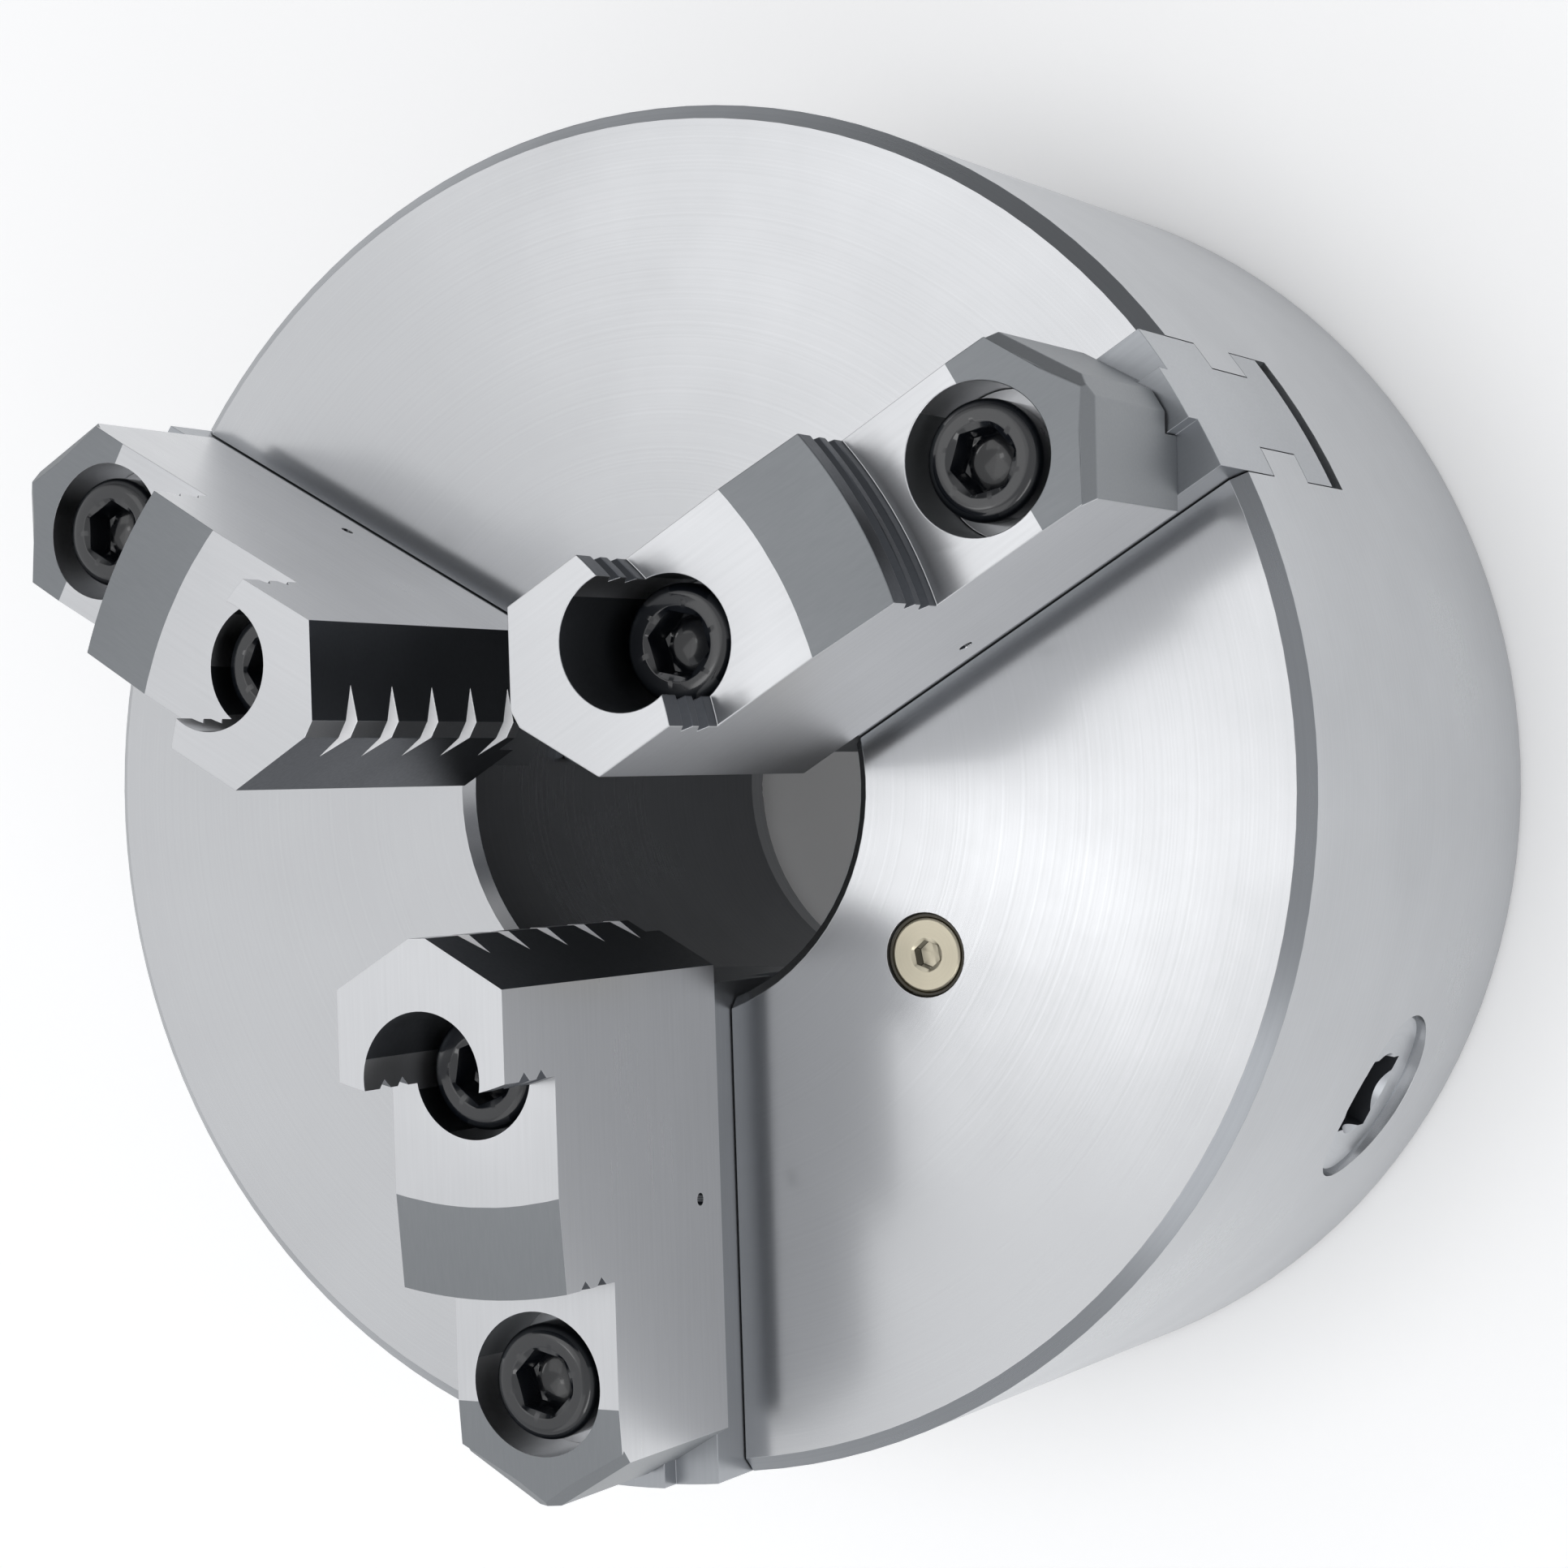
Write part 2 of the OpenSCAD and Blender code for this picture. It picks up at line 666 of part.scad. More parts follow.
chuck_body();
scroll_plate();
back_cover();
back_cover_screws();
pinion_1();
pinion_2();
pinion_3();
pinion_retaining_screws();
master_jaw_1();
master_jaw_2();
master_jaw_3();
top_jaw_1();
top_jaw_2();
top_jaw_3();
cross_key_1();
cross_key_2();
cross_key_3();
inner_jaw_screw_1();
inner_jaw_screw_2();
inner_jaw_screw_3();
outer_jaw_screw_1();
outer_jaw_screw_2();
outer_jaw_screw_3();
oil_plug();
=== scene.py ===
import math
from functools import partial

import bmesh
import bpy
import numpy as np
from bpy.props import FloatProperty, FloatVectorProperty, PointerProperty
from mathutils import Matrix, Vector


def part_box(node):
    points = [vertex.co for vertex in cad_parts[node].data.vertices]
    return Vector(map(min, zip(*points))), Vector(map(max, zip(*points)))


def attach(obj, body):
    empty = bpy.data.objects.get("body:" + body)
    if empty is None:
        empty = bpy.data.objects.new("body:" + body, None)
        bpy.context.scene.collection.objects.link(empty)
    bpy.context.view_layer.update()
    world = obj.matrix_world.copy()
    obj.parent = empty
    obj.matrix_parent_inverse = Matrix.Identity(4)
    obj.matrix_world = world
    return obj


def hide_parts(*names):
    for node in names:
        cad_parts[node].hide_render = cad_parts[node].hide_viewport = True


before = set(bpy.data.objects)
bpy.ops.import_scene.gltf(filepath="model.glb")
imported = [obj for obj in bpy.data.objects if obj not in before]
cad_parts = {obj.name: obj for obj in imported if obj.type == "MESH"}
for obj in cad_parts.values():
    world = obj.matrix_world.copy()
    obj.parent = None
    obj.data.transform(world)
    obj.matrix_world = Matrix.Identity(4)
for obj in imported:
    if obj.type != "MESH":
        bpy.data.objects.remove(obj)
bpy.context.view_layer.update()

bl_info = {
    "name": "Three-jaw lathe chuck",
    "version": (1, 0, 0),
    "blender": (4, 5, 0),
    "location": "3D View > Sidebar > Chuck",
    "description": "Finishes the steel pieces of a self-centring lathe chuck and sets up a studio for it",
    "category": "Object",
}

MM = 0.001

# The spindle axis is Z. Three jaws stand round it, and PINION_LAG degrees clockwise of each, a pinion
JAW_ANGLES = {1: 30, 2: 150, 3: 270}
PINION_LAG = 60
SPOKE = math.radians(120)
FIRST_JAW = math.radians(30)
FIRST_PINION = math.radians(90)
PINION_HEIGHT = 36 * MM
FACE_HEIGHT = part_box("chuck_body")[1].z
RIM_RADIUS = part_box("chuck_body")[1].x
CAP_HEAD_RADIUS = (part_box("outer_jaw_screw_3")[1].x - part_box("outer_jaw_screw_3")[0].x) / 2

# Where one finish ends and the next begins, measured from the spindle axis
BORE_EDGE = 33 * MM
BEVEL_BAND = 8 * MM
SOCKET_START = 80 * MM
SOCKET_REACH = 7 * MM
GROOVE_END = 36 * MM
STEPS_END = 70 * MM

# Turning leaves rings 0.1 to 0.2 mm apart, and milling and grinding leave lines 0.05 to 0.1 mm apart. Those
# are too fine to show, so they are drawn three to ten times as coarse
PLATED_PITCH = 0.3 * MM
MILLED_PITCH = 0.35 * MM
GROUND_PITCH = 0.5 * MM
TURNED_PITCH = 0.6 * MM
COARSE_PITCH = 0.8 * MM
CLOUD_WIDTH = 40 * MM

WELD_GAP = 0.002 * MM
FLAT_ANGLE = math.radians(0.2)
EDGE_ANGLE = math.radians(28)
FLOOR_HALF = 3.0


def linear(code):
    """Linear colour of an sRGB hex code."""
    parts = [int(code[i:i + 2], 16) / 255 for i in (0, 2, 4)]
    return tuple(c / 12.92 if c <= 0.04045 else ((c + 0.055) / 1.055) ** 2.4 for c in parts)


# ---------------------------------------------------------------- settings


def colour(name, description, code):
    """A colour setting, given as an sRGB hex code."""
    return FloatVectorProperty(
        name=name, description=description, subtype="COLOR", size=3, min=0, max=1, default=linear(code)
    )


def length(name, description, mm):
    """A length setting, given in millimetres and kept in metres."""
    return FloatProperty(
        name=name, description=description, subtype="DISTANCE", unit="LENGTH",
        min=0, precision=5, default=mm * MM,
    )


def share(name, description, value):
    """A setting between 0 and 1."""
    return FloatProperty(
        name=name, description=description, subtype="FACTOR", min=0, max=1, default=value
    )


def angle(name, description, degrees):
    """An angle setting, given in degrees."""
    return FloatProperty(
        name=name, description=description, subtype="ANGLE", unit="ROTATION", default=math.radians(degrees)
    )


def strength(name, description, value):
    """A light's strength, from 0 up."""
    return FloatProperty(name=name, description=description, min=0, default=value)


class ChuckFinish(bpy.types.PropertyGroup):
    ground: colour("Ground steel", "Front face of the body, fine turned and then ground", "CFD0D2")
    # The rim's darker tint is painted shade on the drum's side
    rim: colour("Rim steel", "Outside of the body, turned", "C2C4C7")
    # The bevel's darker tint is painted shade
    bevelled: colour("Bevelled edge", "Bevel between the front face and the rim", "9A9DA1")
    turned: colour("Turned steel", "Scroll plate and back cover", "B4B6B9")
    # The bored steel's dark tint is painted shade inside the bore
    bored: colour("Bored steel", "Wall of the bore, dark with oil", "7A7C80")
    jaw: colour("Jaw steel", "Ground faces of the top jaws", "D8D9DB")
    # The satin steel's grey is painted shade on the gentle slopes and the outward end walls
    satin: colour("Satin steel", "Sloped faces of the top jaws, left as milled", "8F9295")
    # The hardened steel's dark is painted shade on the nose and step walls
    dark: colour("Hardened steel", "Nose and step walls, darkened by the hardening", "606368")
    # The groove steel's near white is a painted highlight
    groove: colour("Groove steel", "Grip grooves in the jaw noses", "F2F2F3")
    master: colour("Master jaw steel", "Master jaws and their keys", "AEB1B5")
    pinion: colour("Pinion steel", "Pinions with their key sockets", "BDC0C4")
    oxide: colour("Black oxide", "Cap screws", "0A0D12")
    plug: colour("Plug plating", "Pale plating of the oil plug", "D8D0BA")
    seal: colour("Plug seal", "Ring of sealant round the oil plug", "2B2616")
    ground_roughness: share("Ground roughness", "Roughness of the body's front face", 0.22)
    jaw_roughness: share("Jaw roughness", "Roughness of the ground jaw faces", 0.30)
    body_edge: length("Body edge", "Width of the broken edges of the body", 0.3)
    jaw_edge: length("Jaw edge", "Width of the stoned edges of the jaws", 0.45)
    small_edge: length("Small edge", "Width of the broken edges of small pieces", 0.2)


class ChuckScrews(bpy.types.PropertyGroup):
    head_radius: length("Head radius", "Radius of the cap screw heads", CAP_HEAD_RADIUS / MM)
    head_height: length("Head height", "Height of the cap screw heads", 10)
    head_round: length("Head rounding", "Radius of the heads' rounded edge", 1.8)
    shank_radius: length("Shank radius", "Radius of the M10 shank", 5)
    hexagon: length("Hexagon", "Width across flats of the hexagon socket", 8)
    socket_depth: length("Socket depth", "Depth of the hexagon socket", 5)
    cup_depth: length("Cup depth", "Depth of the round cup that the drill left under the socket", 1.6)
    plug_radius: length("Plug radius", "Radius of the oil plug's head", 5.2)
    plug_head: length("Plug head", "Height of the oil plug's head", 3.4)
    plug_shank: length("Plug shank", "Radius of the oil plug's shank", 4)
    plug_hexagon: length("Plug hexagon", "Width across flats of the oil plug's socket", 3.6)
    seal_bead: length("Seal bead", "Radius of the bead of sealant round the plug", 0.36)


class ChuckStage(bpy.types.PropertyGroup):
    camera_turn: angle("Camera turn", "How far the camera stands to the right of the spindle axis", 28.974)
    camera_tilt: angle("Camera tilt", "Tilt of the camera", 0.295)
    camera_roll: angle("Camera roll", "Roll of the camera about its line of sight", -1.833)
    camera_distance: length("Camera distance", "From the middle of the front face", 509.3)
    camera_right: length("Camera right", "Sideways place of the camera", 6.64)
    camera_up: length("Camera up", "Upward place of the camera", 0.83)
    focal_length: FloatProperty(
        name="Focal length", description="Focal length of the lens", unit="CAMERA", default=79.85
    )
    camera_shift: FloatProperty(name="Lens shift", description="Sideways shift of the lens", default=0.0518)
    floor: colour("Floor", "Matt pale floor", "F6F6F6")
    floor_glow: strength("Floor glow", "Light that the floor gives from below", 0.30)
    sky: colour("Room", "Light of the room all round", "E4E5E7")
    sky_strength: strength("Room light", "Strength of the room's light", 0.85)


# ---------------------------------------------------------------- tool marks


def add(tree, kind, links=None, **settings):
    """Adds a shader node and returns its outputs. Settings are its properties, and links gives each input a
    value or another node's output."""
    node = tree.nodes.new("ShaderNode" + kind)
    for name, value in settings.items():
        setattr(node, name, value)
    for key, value in (links or {}).items():
        if isinstance(value, bpy.types.NodeSocket):
            tree.links.new(value, node.inputs[key])
        else:
            node.inputs[key].default_value = value
    return node.outputs


def nearest_spoke(tree, point, first):
    """Angle of the nearest of three lines, 120 degrees apart, on which the jaws or the pinions stand."""
    x, y, _ = add(tree, "SeparateXYZ", {0: point})
    turn = add(tree, "Math", {0: y, 1: x}, operation="ARCTAN2")[0]
    past = add(tree, "Math", {0: turn, 1: first - SPOKE / 2}, operation="SUBTRACT")[0]
    steps = add(tree, "Math", {0: past, 1: SPOKE}, operation="SNAP")[0]
    return add(tree, "Math", {0: steps, 1: first}, operation="ADD")[0]


def lay_round(tree, point, centre=(0, 0, 0), by_radius=1.0):
    """Tool marks round an upright axis: their direction, and a place that is even along them. The direction
    rises a little, so that it never stands square to an upright wall."""
    rise = 0.005
    offset = add(tree, "VectorMath", {0: point, 1: centre}, operation="SUBTRACT")[0]
    around = add(tree, "VectorMath", {0: (0, 0, 1), 1: offset}, operation="CROSS_PRODUCT")[0]
    direction = add(tree, "VectorMath", {0: around, 1: (0, 0, rise)}, operation="ADD")[0]
    flat = add(tree, "VectorMath", {0: offset, 1: (1, 1, 0)}, operation="MULTIPLY")[0]
    radius = add(tree, "VectorMath", {0: flat}, operation="LENGTH")["Value"]
    height = add(tree, "SeparateXYZ", {0: offset})[2]
    both = add(tree, "CombineXYZ", {0: radius, 1: height})[0]
    return direction, add(tree, "VectorMath", {0: both, 1: (by_radius, 1, 0)}, operation="MULTIPLY")[0]


# On an upright wall the marks go by height alone, because the wall's flat facets change its radius a little
lay_round_wall = partial(lay_round, by_radius=0.0)


def lay_along_jaw(tree, point):
    """Tool marks along each jaw: their direction, and a place drawn out along them, so that a mark is some
    thirty times as long as it is wide."""
    drawn_out = 0.03
    turn = nearest_spoke(tree, point, FIRST_JAW)
    back = add(tree, "Math", {0: turn, 1: -1.0}, operation="MULTIPLY")[0]
    direction = add(tree, "VectorRotate", {"Vector": (1, 0, 0.2), "Angle": turn}, rotation_type="Z_AXIS")[0]
    folded = add(tree, "VectorRotate", {"Vector": point, "Angle": back}, rotation_type="Z_AXIS")[0]
    return direction, add(tree, "VectorMath", {0: folded, 1: (drawn_out, 1, 1)}, operation="MULTIPLY")[0]


def lay_round_pinion(tree, point):
    """Tool marks round the axis of each pinion: their direction, and a place that is even along them."""
    axis_at = (0, 0, PINION_HEIGHT)
    turn = nearest_spoke(tree, point, FIRST_PINION)
    back = add(tree, "Math", {0: turn, 1: -1.0}, operation="MULTIPLY")[0]
    folded = add(tree, "VectorRotate", {"Vector": point, "Angle": back}, rotation_type="Z_AXIS")[0]
    offset = add(tree, "VectorMath", {0: folded, 1: axis_at}, operation="SUBTRACT")[0]
    off_axis = add(tree, "VectorMath", {0: offset, 1: (0, 1, 1)}, operation="MULTIPLY")[0]
    around = add(tree, "VectorMath", {0: (1, 0, 0), 1: off_axis}, operation="CROSS_PRODUCT")[0]
    direction = add(tree, "VectorRotate", {"Vector": around, "Angle": turn}, rotation_type="Z_AXIS")[0]
    radius = add(tree, "VectorMath", {0: off_axis}, operation="LENGTH")["Value"]
    along = add(tree, "SeparateXYZ", {0: offset})[0]
    return direction, add(tree, "CombineXYZ", {0: radius, 1: along})[0]


# ---------------------------------------------------------------- materials


def empty_material(name):
    """A material with an empty node tree."""
    material = bpy.data.materials.new(name)
    material.use_nodes = True
    material.node_tree.nodes.clear()
    return material


def machined_metal(name, tint, roughness, lay, pitch, depth, anisotropy, cloud=0.05):
    """Bare machined metal. Tool marks of the given pitch and depth follow the lay and stretch its highlights
    across them; a faint cloud varies its colour and gloss, as handling and oil do."""
    material = empty_material(name)
    tree = material.node_tree
    point = add(tree, "TexCoord")["Object"]
    direction, marks_at = lay(tree, point)
    marks = add(
        tree, "TexNoise", {"Vector": marks_at, "Scale": 1 / pitch, "Detail": 2.0, "Roughness": 0.6}
    )["Fac"]
    clouds = add(
        tree, "TexNoise", {"Vector": point, "Scale": 1 / CLOUD_WIDTH, "Detail": 4.0, "Roughness": 0.55}
    )["Fac"]
    both = add(tree, "Mix", {"Factor": 0.65, "A": marks, "B": clouds}, data_type="FLOAT")["Result"]
    tinted = add(
        tree, "MapRange",
        {"Value": both, "From Min": 0.3, "From Max": 0.7, "To Min": 1 - 2 * cloud, "To Max": 1.0},
    )[0]
    shade = add(tree, "VectorMath", {0: (*tint,), "Scale": tinted}, operation="SCALE")[0]
    spread = cloud * 0.8
    gloss = add(
        tree, "MapRange",
        {
            "Value": both, "From Min": 0.3, "From Max": 0.7,
            "To Min": roughness + spread, "To Max": roughness - spread,
        },
    )[0]
    bump = add(tree, "Bump", {"Height": marks, "Strength": 0.4, "Distance": depth})[0]
    tangent = add(
        tree, "VectorTransform", {0: direction},
        vector_type="VECTOR", convert_from="OBJECT", convert_to="WORLD",
    )[0]
    shader = add(
        tree, "BsdfPrincipled",
        {
            "Base Color": shade, "Metallic": 1.0, "Roughness": gloss, "Normal": bump,
            "Anisotropic": anisotropy, "Anisotropic Rotation": 0.25, "Tangent": tangent,
        },
    )[0]
    add(tree, "OutputMaterial", {"Surface": shader})
    return material


def skinned_metal(name, tint, coat):
    """A thin dark skin with an oily gloss over it, in patches 6 mm wide. Its grain is a few hundredths of a
    millimetre wide, which is too fine to show, so it is drawn 0.5 mm wide."""
    grain_width, patch_width = 0.5 * MM, 6 * MM
    material = empty_material(name)
    tree = material.node_tree
    point = add(tree, "TexCoord")["Object"]
    grain = add(
        tree, "TexNoise", {"Vector": point, "Scale": 1 / grain_width, "Detail": 3.0, "Roughness": 0.6}
    )["Fac"]
    oil = add(tree, "TexNoise", {"Vector": point, "Scale": 1 / patch_width, "Detail": 2.0})["Fac"]
    gloss = add(
        tree, "MapRange", {"Value": oil, "From Min": 0.3, "From Max": 0.7, "To Min": 0.16, "To Max": 0.28}
    )[0]
    bump = add(tree, "Bump", {"Height": grain, "Strength": 0.2, "Distance": 0.02 * MM})[0]
    tone = add(
        tree, "MapRange", {"Value": oil, "From Min": 0.3, "From Max": 0.7, "To Min": 1.0, "To Max": 1.5}
    )[0]
    shade = add(tree, "VectorMath", {0: (*tint,), "Scale": tone}, operation="SCALE")[0]
    shader = add(
        tree, "BsdfPrincipled",
        {
            "Base Color": shade, "Metallic": 0.0, "Roughness": gloss, "Normal": bump, "IOR": 1.5,
            "Coat Weight": coat, "Coat Roughness": 0.07,
        },
    )[0]
    add(tree, "OutputMaterial", {"Surface": shader})
    return material


def ground_body_steel(name, f):
    # Cast steel, fine turned and then ground while it spins: satin, and its highlights fan out from the axis
    return machined_metal(
        name, f.ground, f.ground_roughness, lay_round, GROUND_PITCH, depth=0.008 * MM, anisotropy=0.5
    )


def turned_rim_steel_shaded(name, f):
    # Left as turned, with fine rings: softer than the ground face, and a little darker as painted shade
    return machined_metal(
        name, f.rim, 0.3, lay_round_wall, TURNED_PITCH, depth=0.012 * MM, anisotropy=0.6, cloud=0.06
    )


def shaded_bevel_steel(name, f):
    # Cut with the corner of the turning tool and not ground, and tinted darker as painted shade
    return machined_metal(
        name, f.bevelled, 0.3, lay_round, TURNED_PITCH, depth=0.012 * MM, anisotropy=0.4, cloud=0.08
    )


def turned_oiled_steel(name, f):
    # Left as turned and lightly oiled: coarser rings, a little darker
    return machined_metal(
        name, f.turned, 0.34, lay_round, COARSE_PITCH, depth=0.02 * MM, anisotropy=0.5, cloud=0.08
    )


def shaded_bore_steel(name, f):
    # Bored, with rings, and tinted dark as painted shade inside the bore
    return machined_metal(
        name, f.bored, 0.3, lay_round_wall, COARSE_PITCH, depth=0.02 * MM, anisotropy=0.5, cloud=0.08
    )


def ground_jaw_steel(name, f):
    # Hardened and surface ground along the jaw: smooth pale grey with faint straight lines
    return machined_metal(
        name, f.jaw, f.jaw_roughness, lay_along_jaw, GROUND_PITCH, depth=0.006 * MM, anisotropy=0.45
    )


def shaded_slope_steel(name, f):
    # Milled and then tumbled, keeping no clear reflections: an even grey that is painted shade on the slopes
    return machined_metal(
        name, f.satin, 0.46, lay_along_jaw, MILLED_PITCH, depth=0.012 * MM, anisotropy=0.1, cloud=0.04
    )


def shaded_wall_steel(name, f):
    # Dull, with clouds, and painted dark as shade on the nose and step walls and in the pinions' sockets
    return machined_metal(
        name, f.dark, 0.38, lay_along_jaw, TURNED_PITCH, depth=0.015 * MM, anisotropy=0.1, cloud=0.08
    )


def groove_painted_highlight_steel(name, f):
    # Milled, with a soft gloss, and painted near white as a highlight on the grip grooves
    return machined_metal(
        name, f.groove, 0.45, lay_along_jaw, MILLED_PITCH, depth=0.01 * MM, anisotropy=0.1, cloud=0.03
    )


def ground_master_steel(name, f):
    # Hardened and ground on its sliding faces, oiled: even, a little darker than the top jaws
    return machined_metal(
        name, f.master, 0.34, lay_along_jaw, GROUND_PITCH, depth=0.012 * MM, anisotropy=0.4, cloud=0.06
    )


def turned_pinion_steel(name, f):
    # Turned and hardened: fine rings round each pinion's axis
    return machined_metal(
        name, f.pinion, 0.3, lay_round_pinion, GROUND_PITCH, depth=0.015 * MM, anisotropy=0.5
    )


def plated_plug_metal(name, f):
    # Turned and plated in a pale gold: fine rings and a soft sheen
    lay = partial(lay_round, centre=plug_centre())
    return machined_metal(name, f.plug, 0.36, lay, PLATED_PITCH, depth=0.01 * MM, anisotropy=0.4)


def black_oxide_steel(name, f):
    # Steel blackened in a hot salt bath and oiled: near black, with clear wet-looking highlights
    return skinned_metal(name, f.oxide, coat=0.9)


def sealant_and_socket_shade(name, f):
    # Sealant squeezed out round the plug: dark and softly shiny. On the walls of the plug's socket the same
    # dark is painted shade
    return skinned_metal(name, f.seal, coat=0.3)


def matt_paper(name, s):
    # Uncoated background paper: even and matt. Its fibres are too fine to show, so they are drawn 2 mm wide.
    # A glow keeps the paper evenly bright, and it is turned down under the object as painted shade,
    # where little light would reach it
    fibre_width, shaded, lit, painted_shade_share = 2 * MM, 80 * MM, 130 * MM, 0.3
    material = empty_material(name)
    tree = material.node_tree
    point = add(tree, "TexCoord")["Object"]
    fibre = add(tree, "TexNoise", {"Vector": point, "Scale": 1 / fibre_width})["Fac"]
    bump = add(tree, "Bump", {"Height": fibre, "Strength": 0.1, "Distance": 0.05 * MM})[0]
    away = add(tree, "VectorMath", {0: point}, operation="LENGTH")["Value"]
    glow = add(
        tree, "MapRange",
        {
            "Value": away, "From Min": shaded, "From Max": lit,
            "To Min": s.floor_glow * painted_shade_share, "To Max": s.floor_glow,
        },
        interpolation_type="SMOOTHSTEP",
    )[0]
    shader = add(
        tree, "BsdfPrincipled",
        {
            "Base Color": (*s.floor, 1), "Roughness": 0.9, "Normal": bump, "Specular IOR Level": 0.2,
            "Emission Color": (*s.floor, 1), "Emission Strength": glow,
        },
    )[0]
    add(tree, "OutputMaterial", {"Surface": shader})
    return material


def finish(make):
    """The material that a function makes, made once and then shared."""
    made = bpy.data.materials.get(make.__name__)
    return made or make(make.__name__, bpy.context.scene.chuck_finish)


# ---------------------------------------------------------------- meshes


def clean_mesh(name, points, faces):
    """A smooth mesh from arrays of points and faces."""
    mesh = bpy.data.meshes.new(name)
    mesh.from_pydata(np.asarray(points).tolist(), [], [tuple(f) for f in faces])
    mesh.polygons.foreach_set("use_smooth", np.ones(len(mesh.polygons), bool))
    mesh.update()
    return mesh


def show(name, mesh, body, replaced, edge, materials):
    """Puts a finished mesh on its body, with broken edges of the given width, in place of its CAD node."""
    piece = bpy.data.objects.new(name, mesh)
    bpy.context.scene.collection.objects.link(piece)
    for material in materials:
        mesh.materials.append(material)
    bevel = piece.modifiers.new("Broken edges", "BEVEL")
    bevel.width = edge
    bevel.segments = 2
    bevel.limit_method = "ANGLE"
    bevel.angle_limit = EDGE_ANGLE
    bevel.harden_normals = True
    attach(piece, body)
    if replaced:
        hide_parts(replaced)


def welded(node):
    """A copy of a CAD node's surface with its loose triangles welded and its flat faces made whole."""
    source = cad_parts[node].data
    points = np.empty(len(source.vertices) * 3)
    source.vertices.foreach_get("co", points)
    corners = np.empty(len(source.loops), int)
    source.loops.foreach_get("vertex_index", corners)
    mesh = clean_mesh(node + "_copy", points.reshape(-1, 3), corners.reshape(-1, 3))
    work = bmesh.new()
    work.from_mesh(mesh)
    bmesh.ops.remove_doubles(work, verts=work.verts, dist=WELD_GAP)
    bmesh.ops.dissolve_limit(work, angle_limit=FLAT_ANGLE, verts=work.verts, edges=work.edges)
    work.to_mesh(mesh)
    work.free()
    return mesh


def turned_surface(rows, around=72):
    """A closed surface of turning on a grid: the point at angle u and row v stands at
    (r cos u, r sin u, h), where row v gives the radius R, the height h and the share k of a hexagon, and
    r = R (1 - k + k cos 30 / cos(u mod 60 - 30)). The first and the last row are single points."""
    u = np.arange(around) * 2 * np.pi / around
    rows = np.asarray(rows, float)
    radius, height, six = rows[1:-1, 0:1], rows[1:-1, 1:2], rows[1:-1, 2:3]
    hexagon = np.cos(np.pi / 6) / np.cos(u % (np.pi / 3) - np.pi / 6)
    r = radius * (1 - six + six * hexagon)
    grid = np.stack([r * np.cos(u), r * np.sin(u), height + 0 * r], axis=-1).reshape(-1, 3)
    points = np.vstack([grid, [[0, 0, rows[0, 1]], [0, 0, rows[-1, 1]]]])
    here = np.arange(around)
    beside = (here + 1) % around
    ring = np.arange(len(radius) - 1)[:, None] * around
    last = (len(radius) - 1) * around
    first_pole, last_pole = np.full(around, len(grid)), np.full(around, len(grid) + 1)
    quads = np.stack([ring + here, ring + beside, ring + around + beside, ring + around + here], axis=-1)
    bottom = np.stack([beside, here, first_pole], axis=-1)
    top = np.stack([last + here, last + beside, last_pole], axis=-1)
    return points, [*quads.reshape(-1, 4), *bottom, *top]


def ring_surface(radius, tube, around=96, across=16):
    """A torus: the point at angles u and v stands at ((R + t cos v) cos u, (R + t cos v) sin u, t sin v)."""
    u = np.arange(around)[:, None] * 2 * np.pi / around
    v = np.arange(across)[None, :] * 2 * np.pi / across
    reach = radius + tube * np.cos(v)
    points = np.stack([reach * np.cos(u), reach * np.sin(u), tube * np.sin(v) + 0 * u], axis=-1)
    i, j = np.arange(around)[:, None], np.arange(across)[None, :]
    ii, jj = (i + 1) % around, (j + 1) % across
    corners = [i * across + j, ii * across + j, ii * across + jj, i * across + jj]
    return points.reshape(-1, 3), np.stack(corners, axis=-1).reshape(-1, 4)


def carried(points, centre, turn):
    """Points turned about Z and carried to their centre."""
    c, s = math.cos(turn), math.sin(turn)
    spin = np.array([[c, -s, 0], [s, c, 0], [0, 0, 1]])
    return np.asarray(points) @ spin.T + np.asarray(centre)


def screw_rows(s, tip, top):
    """Rows of a cap screw from its tip to the cup under its socket. The head's edge is a quarter circle, and
    the cup is an arc."""
    chamfer, under_head, cup_share = 1 * MM, 0.2 * MM, 0.86
    lead_in_width, lead_in_depth = 0.35 * MM, 0.5 * MM
    corner = s.hexagon / 2 / math.cos(math.pi / 6)
    seat, floor = top - s.head_height, top - s.socket_depth
    dome = [
        (s.head_radius - s.head_round * (1 - math.sin(a)), top - s.head_round * (1 - math.cos(a)), 0)
        for a in np.radians([90, 75, 60, 45, 30, 15, 0])
    ]
    cup = [
        (corner * cup_share * math.cos(a), floor - s.cup_depth * math.sin(a), 0)
        for a in np.radians([8, 24, 40, 56, 72])
    ]
    return [
        (0, tip, 0),
        (s.shank_radius - chamfer, tip, 0),
        (s.shank_radius, tip + chamfer, 0),
        (s.shank_radius, seat, 0),
        (s.head_radius - under_head, seat, 0),
        (s.head_radius, seat + under_head, 0),
        *dome,
        (corner + lead_in_width, top, 0),
        (corner, top - lead_in_depth, 1),
        (corner, floor, 1),
        *cup,
        (0, floor - s.cup_depth, 0),
    ]


def plug_centre():
    """Middle of the oil plug, at the height of the rear face."""
    low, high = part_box("oil_plug")
    return (low.x + high.x) / 2, (low.y + high.y) / 2, 0


